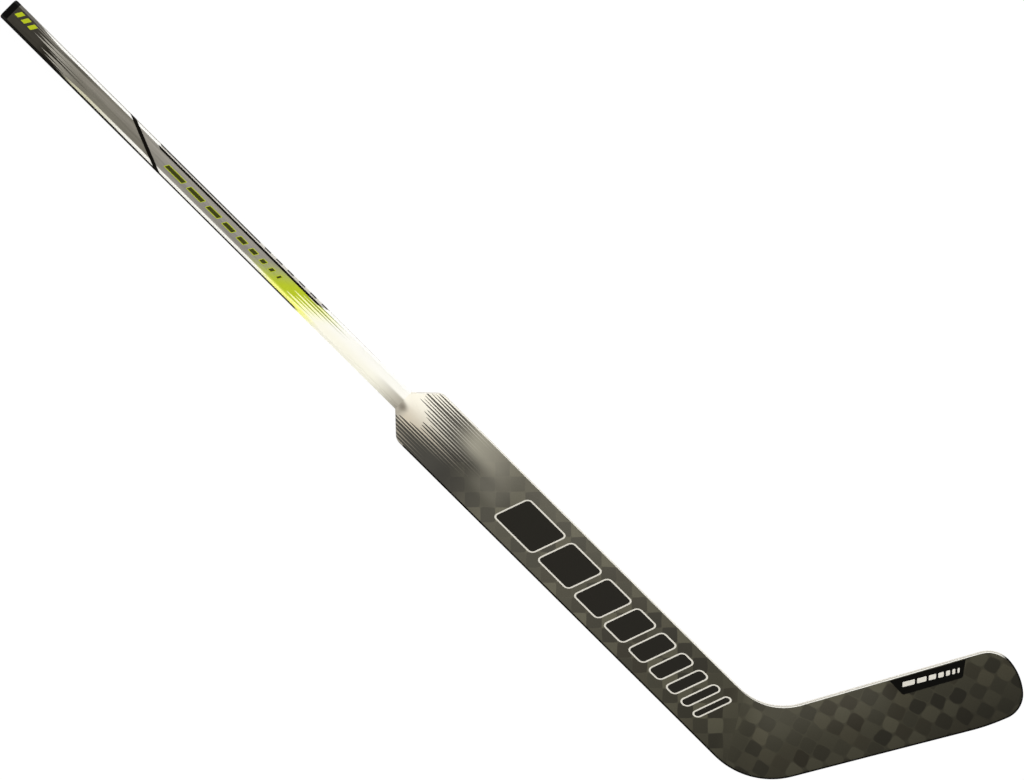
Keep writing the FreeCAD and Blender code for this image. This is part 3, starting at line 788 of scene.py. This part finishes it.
@dataclass(frozen=True)
class PrintedRow:
    """A row of slanted bars with rounded corners, printed as one thin film."""

    name: str
    slot: str
    line_ink: str
    fill_ink: str
    start: Point
    widths: tuple[float, ...]
    gap: float
    height: float
    lean: float
    corner: float
    line: float
    thickness: float = 0.06
    steps: int = 6

    def outline(self, left: float, width: float, inset: float) -> list[Point]:
        """Give the outline of one bar.

        Args:
            left: Where the bar starts along the row.
            width: The bar's width.
            inset: How far the outline is drawn in.

        Returns:
            The points, turning left.
        """
        half = self.height / 2.0 - inset
        round_off = max(min(self.corner, width / 2.0 - 0.1) - inset, 0.3)
        low = left + inset + round_off
        high = left + width - inset - round_off
        middles = ((high, half - round_off), (low, half - round_off))
        middles += ((low, round_off - half), (high, round_off - half))
        points = []
        for quarter, (a, b) in enumerate(middles):
            for step in range(self.steps + 1):
                turn = (quarter + step / self.steps) * math.pi / 2.0
                along = a + round_off * math.cos(turn)
                up = b + round_off * math.sin(turn)
                points.append((along + up * self.lean + self.start[0], up + self.start[1]))
        return points

    def build(self, place: Place, finishes: dict[str, Material]) -> None:
        """Make the film as one object that rides on the stick.

        Args:
            place: Turns a point of the row and a height above the surface into metres of the frame.
            finishes: The finishes by name, among them the inks.
        """
        shape = bmesh.new()
        left = 0.0
        for width in self.widths:
            self.add_bar(shape, place, left, width)
            left += width + self.gap
        bmesh.ops.recalc_face_normals(shape, faces=shape.faces)
        film = mesh_object(self.name, shape, finishes[self.line_ink], finishes[self.fill_ink])
        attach(film, BODY)

    def add_bar(self, shape: bmesh.types.BMesh, place: Place, left: float, width: float) -> None:
        """Add one closed bar to the film.

        Args:
            shape: The mesh being made.
            place: Turns a point of the row and a height into metres of the frame.
            left: Where the bar starts along the row.
            width: The bar's width.
        """
        outer = self.outline(left, width, 0.0)
        inner = self.outline(left, width, self.line)
        top = [shape.verts.new(place(a, b, self.thickness)) for a, b in outer]
        low = [shape.verts.new(place(a, b, 0.0)) for a, b in outer]
        ring = [shape.verts.new(place(a, b, self.thickness)) for a, b in inner]
        join(shape, top, ring)
        join(shape, low, top)
        shape.faces.new(ring).material_index = 1
        shape.faces.new(tuple(reversed(low)))


def mesh_object(name: str, shape: bmesh.types.BMesh, *paints: Material) -> bpy.types.Object:
    """Turn a shape into an object of the scene.

    Args:
        name: The object's name.
        shape: The shape, which is freed.
        paints: The object's materials in order.

    Returns:
        The object.
    """
    mesh = bpy.data.meshes.new(name)
    shape.to_mesh(mesh)
    shape.free()
    for paint in paints:
        mesh.materials.append(paint)
    made = bpy.data.objects.new(name, mesh)
    bpy.context.scene.collection.objects.link(made)
    LOG.info("built %s", name)
    return made


def join(shape: bmesh.types.BMesh, low: list[bmesh.types.BMVert], high: list[bmesh.types.BMVert]) -> None:
    """Span faces between two rings of as many points.

    Args:
        shape: The mesh being made.
        low: The first ring.
        high: The second ring.
    """
    for index, point in enumerate(low):
        after = (index + 1) % len(low)
        shape.faces.new((point, low[after], high[after], high[index]))


def flat_place(front: float) -> Place:
    """Give the function that puts a point of a row on a flat face at that height."""
    return lambda along, up, lift: Vector((along, up, front + lift)) * MM


def eased(share: float) -> float:
    """Turn an even share from 0 to 1 into one that starts and ends gently."""
    return share * share * (3.0 - 2.0 * share)


def rounded_corner(before: Vector, middle: Vector, after: Vector, cut: float) -> list[Point]:
    """Round one corner of an outline.

    Args:
        before: The corner before it.
        middle: The corner itself.
        after: The corner after it.
        cut: How far the rounding reaches along each side.

    Returns:
        Points along the rounding.
    """
    first = middle + (before - middle).normalized() * cut
    last = middle + (after - middle).normalized() * cut
    points = []
    for share in (0.0, 0.25, 0.5, 0.75, 1.0):
        point = first * (1.0 - share) ** 2 + middle * (2.0 * share * (1.0 - share)) + last * share ** 2
        points.append((point.x, point.y))
    return points


def lofted(name: str, rows: list[list[Vector]], paint: Material) -> bpy.types.Object:
    """Join outlines into one closed smooth mesh.

    Args:
        name: The piece's name.
        rows: The outlines in order, each once round with as many points.
        paint: The piece's material.

    Returns:
        The piece.
    """
    shape = bmesh.new()
    rings = [[shape.verts.new(point) for point in row] for row in rows]
    for low, high in zip(rings, rings[1:]):
        join(shape, low, high)
    shape.faces.new(rings[0])
    shape.faces.new(rings[-1])
    bmesh.ops.recalc_face_normals(shape, faces=shape.faces)
    for face in shape.faces:
        face.smooth = True
    made = mesh_object(name, shape, paint)
    made.data.set_sharp_from_angle(angle=SHARP_ANGLE)
    return made


@dataclass
class Dresser:
    """Puts finishes on nodes of the frame and keeps count."""

    nodes: dict[str, bpy.types.Object]
    finishes: dict[str, Material]
    done: set[str] = field(default_factory=set)

    def dress(self, finish: str, *names: str) -> None:
        """Give nodes a finish.

        Args:
            finish: The finish's name.
            names: The nodes.
        """
        for name in names:
            self.nodes[name].data.materials.clear()
            self.nodes[name].data.materials.append(self.finishes[finish])
            self.done.add(name)
            LOG.info("dressed %s with %s", name, finish)


@dataclass
class Shaft:
    """The hollow eight-sided shaft, its cap and the bar in its end."""

    start: float = -1103.1
    end: float = NECK_X
    half_width: float = SHAFT_HALF
    corner: float = 4.0
    front: float = 20.0
    ridge_start: float = -518.1
    ridge_full: float = -433.1
    ridge_rise: float = 1.6
    ridge_drop: float = 2.6
    ridge_soft: float = 3.0
    crest_half: float = 11.4
    crest_rows: int = 15
    crest_blunt: float = 0.12
    crest_sink: float = 0.05
    crest_depth: float = 0.3
    round_edge: float = 1.6
    cap_clear: float = 0.02
    dashes: PrintedRow = PrintedRow(
        "shaft_dashes", "shaft_paint", "lime_ink", "olive_ink", start=(-812.0, 0.0),
        widths=(34.0, 28.0, 23.0, 19.0, 15.0, 12.0, 9.0, 7.0, 5.0),
        gap=8.0, height=7.0, lean=0.6, corner=1.0, line=0.9,
    )
    butt_bars: PrintedRow = PrintedRow(
        "butt_bars", "shaft_paint", "lime_ink", "lime_ink", start=(-1098.0, 5.0),
        widths=(7.0, 7.0, 7.0), gap=5.0, height=9.0, lean=0.6, corner=0.8, line=0.8,
    )

    def crown(self, y: float, grown: float) -> float:
        """Give the height of the front face, which grows a soft ridge towards the paddle.

        Args:
            y: Place across the shaft.
            grown: How far the ridge has grown, from 0 to 1.

        Returns:
            The height above the back.
        """
        edge = self.half_width - self.corner
        top = self.front + self.ridge_rise * grown
        slope = (self.ridge_rise + self.ridge_drop) * grown / edge
        return top - slope * (math.hypot(y, self.ridge_soft) - self.ridge_soft * 0.6)

    def section(self, grown: float) -> list[Point]:
        """Give the shaft's outline with softly rounded corners.

        Args:
            grown: How far the ridge has grown, from 0 to 1.

        Returns:
            Points across and up, once round.
        """
        edge = self.half_width - self.corner
        low = self.front - self.corner - self.ridge_drop * grown
        top = self.crown(edge, grown)
        right = [(edge, 0.0), (self.half_width, self.corner), (self.half_width, low), (edge, top)]
        corners = right + [(-y, z) for y, z in reversed(right)]
        across = [edge * (0.8 - 0.16 * step) for step in range(11)]
        points = []
        for index, middle in enumerate(corners):
            before = Vector(corners[index - 1])
            after = Vector(corners[(index + 1) % len(corners)])
            points += rounded_corner(before, Vector(middle), after, self.round_edge)
            if middle == right[-1]:
                points += [(y, self.crown(y, grown)) for y in across]
        return points

    def make_shell(self, paint: Material) -> None:
        """Loft the outside of the shaft with rounded edges, in place of the plain tube.

        Args:
            paint: The shaft's paint.
        """
        stops = [self.start + self.cap_clear, *(self.start + 20.0 * step for step in range(1, 29))]
        stops += [self.ridge_start + 6.0 * step for step in range(1, 15)]
        stops += [self.ridge_full + 10.0 * step for step in range(7)] + [self.end]
        rows = []
        for x in stops:
            share = min(max((x - self.ridge_start) / (self.ridge_full - self.ridge_start), 0.0), 1.0)
            rows.append([Vector((x, y, z)) * MM for y, z in self.section(eased(share))])
        shell = lofted("shaft_shell", rows, paint)
        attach(shell, BODY)
        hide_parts("shaft_tube")

    def make_crest(self, paint: Material, face: float, tip: float) -> None:
        """Let the ridge run out smoothly on the paddle, in place of the plain wedge.

        Args:
            paint: The finish of the paddle's top.
            face: Height of the paddle's face.
            tip: Where the crest ends.
        """
        spread = [-1.0 + step / 10.0 for step in range(21)]
        rows = []
        for step in range(self.crest_rows):
            share = step / (self.crest_rows - 1)
            x = self.end + share * (tip - self.end)
            pointed = (1.0 - self.crest_blunt) * math.sqrt(1.0 - share)
            wide = self.crest_half * (self.crest_blunt + pointed)
            row = []
            for part in spread:
                lift = max(self.crown(part * self.crest_half, 1.0) - face, 0.0) * (1.0 - eased(share))
                row.append(Vector((x, part * wide, face - self.crest_sink + lift)) * MM)
            under = (face - self.crest_depth) * MM
            rows.append(row + [Vector((x * MM, point.y, under)) for point in (row[-1], row[0])])
        crest = lofted("neck_crest", rows, paint)
        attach(crest, BODY)
        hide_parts("neck_fairing")

    def build(self, dresser: Dresser) -> None:
        """Dress the shaft and print its bars.

        Args:
            dresser: Holds the nodes and the finishes.
        """
        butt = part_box("butt_plug")[0].x / MM
        paint = ShaftPaint(butt, self.half_width, self.half_width - self.corner).material()
        dresser.finishes["shaft_paint"] = paint
        dresser.dress("shaft_paint", "shaft_tube")
        self.make_shell(paint)
        dresser.dress("cap_plastic", "butt_plug")
        for row in (self.dashes, self.butt_bars):
            row.build(flat_place(self.front), dresser.finishes)
        LOG.info("built shaft")


@dataclass
class Paddle:
    """The flat paddle with its shoulders, rails, skins and core."""

    front: float = 18.0
    crest_end: float = -335.1
    bars: PrintedRow = PrintedRow(
        "paddle_bars", "paddle_carbon", "pale_ink", "dark_ink", start=(-160.0, 0.0),
        widths=(74.0, 60.0, 48.0, 38.0, 30.0, 24.0, 19.0, 15.0, 12.0),
        gap=8.5, height=52.0, lean=0.36, corner=7.0, line=2.1,
    )

    def build(self, dresser: Dresser) -> None:
        """Dress the paddle and print its bars.

        Args:
            dresser: Holds the nodes and the finishes.
        """
        dresser.dress("carbon_plain", "neck_plate", "neck_fairing", "shoulder_rail_outer")
        dresser.dress("carbon_plain", "paddle_front_skin", "paddle_back_skin")
        # The inner rails' rims get a painted highlight, the outer rail's rim painted shade
        dresser.dress("carbon_pale", "shoulder_rail_inner", "paddle_rail_inner")
        dresser.dress("carbon_black", "paddle_rail_outer")
        dresser.dress("foam", *(name for name in dresser.nodes if name.startswith("paddle_core")))
        dresser.dress("web", *(name for name in dresser.nodes if name.startswith("paddle_spar")))
        dresser.dress("bar", "neck_tenon")
        self.bars.build(flat_place(self.front), dresser.finishes)
        LOG.info("built paddle")


@dataclass
class Blade:
    """The curved blade with its heel, rails, skins, core and label."""

    front: float = 18.6
    flat: float = 108.0
    curve: float = 6753.0
    marks: PrintedRow = PrintedRow(
        "label_bars", "label", "pale_ink", "pale_ink", start=(237.0, 83.0),
        widths=(17.0, 13.0, 10.0, 7.5, 5.5, 4.0, 3.0), gap=3.2, height=6.4, lean=0.3, corner=1.2, line=0.6,
    )

    def place(self, along: float, up: float, lift: float) -> Vector:
        """Give a point on the label from the distance along the sole and up from it.

        Args:
            along: Distance from the heel's corner along the sole.
            up: Distance from the sole.
            lift: Height above the label.

        Returns:
            The point in metres.
        """
        east, north = math.cos(BEND), math.sin(BEND)
        x = HEEL[0] + along * east - up * north
        y = HEEL[1] + along * north + up * east
        rise = max(along - self.flat, 0.0) ** 2 / (2.0 * self.curve)
        return Vector((x, y, self.front + rise + lift)) * MM

    def build(self, dresser: Dresser) -> None:
        """Dress the blade and print the label.

        Args:
            dresser: Holds the nodes and the finishes.
        """
        dresser.dress("carbon_plain", "blade_front_skin", "blade_back_skin")
        # Inner rims get a painted highlight, the toe's highlight and shade, the outer rims painted shade
        dresser.dress("carbon_lined", "heel_rail_inner", "blade_top_rail")
        dresser.dress("carbon_toe", "toe_rail")
        dresser.dress("carbon_black", "heel_rail_outer", "blade_sole_rail")
        dresser.dress("dense_foam", "heel_core")
        dresser.dress("foam", "blade_core_lower", "blade_core_upper")
        dresser.dress("web", "blade_rib")
        dresser.dress("label_vinyl", "blade_label")
        self.marks.build(self.place, dresser.finishes)
        LOG.info("built blade")


@dataclass
class Studio:
    """The floor, the lamps, the world and the camera straight above."""

    look_at: Point = (-0.2693, 0.1130)
    level: float = 0.018
    width: float = 1.3773
    lens: float = 200.0
    sensor: float = 36.0
    turn: float = math.radians(44.785)
    floor_size: float = 8.0
    floor_level: float = -0.0004
    floor_grey: Colour = (0.86, 0.86, 0.85)
    floor_glow: float = 1.04
    floor_white: float = 0.93
    sky_above: float = 0.06
    sky_aside: float = 0.5
    backdrop: float = 1.0

    def build(self) -> None:
        """Make all of it."""
        self.make_camera()
        self.make_floor()
        self.make_world()
        self.make_lamp("key", spot=(-1.03, 1.95, 1.8), size=(2.4, 1.4), power=52.0)
        self.make_lamp("side_fill", spot=(-0.3, -1.9, 1.8), size=(2.4, 1.2), power=46.0)
        self.make_lamp("heel_fill", spot=(1.6, 0.9, 1.8), size=(1.4, 1.2), power=17.0)
        LOG.info("built studio")

    def make_camera(self) -> None:
        """Look straight down, turned so that the shaft runs from corner to corner."""
        data = bpy.data.cameras.new("camera")
        data.lens = self.lens
        data.sensor_width = self.sensor
        camera = bpy.data.objects.new("camera", data)
        distance = self.width * self.lens / self.sensor
        camera.location = (*self.look_at, self.level + distance)
        camera.rotation_euler = (0.0, 0.0, self.turn)
        bpy.context.scene.collection.objects.link(camera)
        bpy.context.scene.camera = camera

    def make_floor(self) -> None:
        """Lay a white floor that the camera and reflections see nearly as plain white."""
        surface = Surface("floor_white")
        path = self.seen(surface)
        matt = surface.node("BsdfDiffuse", {"Color": self.floor_grey})
        glow = surface.node("Emission", {"Color": PURE_WHITE, "Strength": self.floor_glow})
        sockets = {0: path * self.floor_white, 1: matt.outputs[0], 2: glow.outputs[0]}
        mixed = surface.node("MixShader", sockets)
        surface.node("OutputMaterial", {"Surface": mixed.outputs[0]})
        shape = bmesh.new()
        bmesh.ops.create_grid(shape, x_segments=8, y_segments=8, size=self.floor_size)
        floor = mesh_object("floor", shape, surface.material)
        floor.location = (*self.look_at, self.floor_level)

    def seen(self, nodes: Nodes) -> Value:
        """Give 1 on camera, glossy and transmission rays."""
        path = nodes.node("LightPath")
        names = ("Is Camera Ray", "Is Glossy Ray", "Is Transmission Ray")
        parts = [Value(nodes, path.outputs[name]) for name in names]
        return parts[0].most(parts[1]).most(parts[2])

    def make_world(self) -> None:
        """Light softly from all round, less from straight above, with white behind the floor."""
        world = bpy.data.worlds.new("studio")
        world.use_nodes = True
        bpy.context.scene.world = world
        nodes = Nodes(world.node_tree)
        side = 1.0 - nodes.coordinates("Generated")[2].rise(0.1, 0.75)
        skies = []
        for strength in (self.sky_above, self.sky_aside, self.backdrop):
            sky = nodes.node("Background", {"Color": PURE_WHITE, "Strength": strength})
            skies.append(sky.outputs[0])
        soft = nodes.node("MixShader", {0: side, 1: skies[0], 2: skies[1]})
        camera = Value(nodes, nodes.node("LightPath").outputs["Is Camera Ray"])
        both = nodes.node("MixShader", {0: camera, 1: soft.outputs[0], 2: skies[2]})
        nodes.node("OutputWorld", {"Surface": both.outputs[0]})

    def make_lamp(self, name: str, spot: tuple[float, float, float], size: Point, power: float) -> None:
        """Hang one soft lamp that faces the stick.

        Args:
            name: The lamp's name.
            spot: Where it hangs, in metres.
            size: Its length and width in metres.
            power: Its power in watts.
        """
        data = bpy.data.lights.new(name, "AREA")
        data.shape = "RECTANGLE"
        data.size, data.size_y = size
        data.energy = power
        lamp = bpy.data.objects.new(name, data)
        lamp.location = spot
        lamp.visible_glossy = False
        aim = Vector((*self.look_at, 0.0)) - Vector(spot)
        lamp.rotation_euler = aim.to_track_quat("-Z", "Y").to_euler()
        bpy.context.scene.collection.objects.link(lamp)


def main() -> None:
    """Load the frame, dress it, print the bars and set up the studio."""
    logging.basicConfig(level=logging.INFO, format="%(message)s")
    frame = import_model()
    bpy.context.scene.view_settings.view_transform = "Standard"
    finishes = {"carbon_" + edge.value: CarbonFinish(edge).material() for edge in Edge}
    for finish in PLAIN_FINISHES:
        finishes[finish.name] = finish.material()
    dresser = Dresser(frame["nodes"], finishes)
    shaft = Shaft()
    shaft.build(dresser)
    paddle = Paddle()
    paddle.build(dresser)
    shaft.make_crest(finishes["carbon_plain"], paddle.front, paddle.crest_end)
    Blade().build(dresser)
    left = sorted(set(frame["nodes"]) - dresser.done)
    LOG.info("nodes left bare: %s", left)
    Studio().build()


if __name__ == "__main__":
    main()
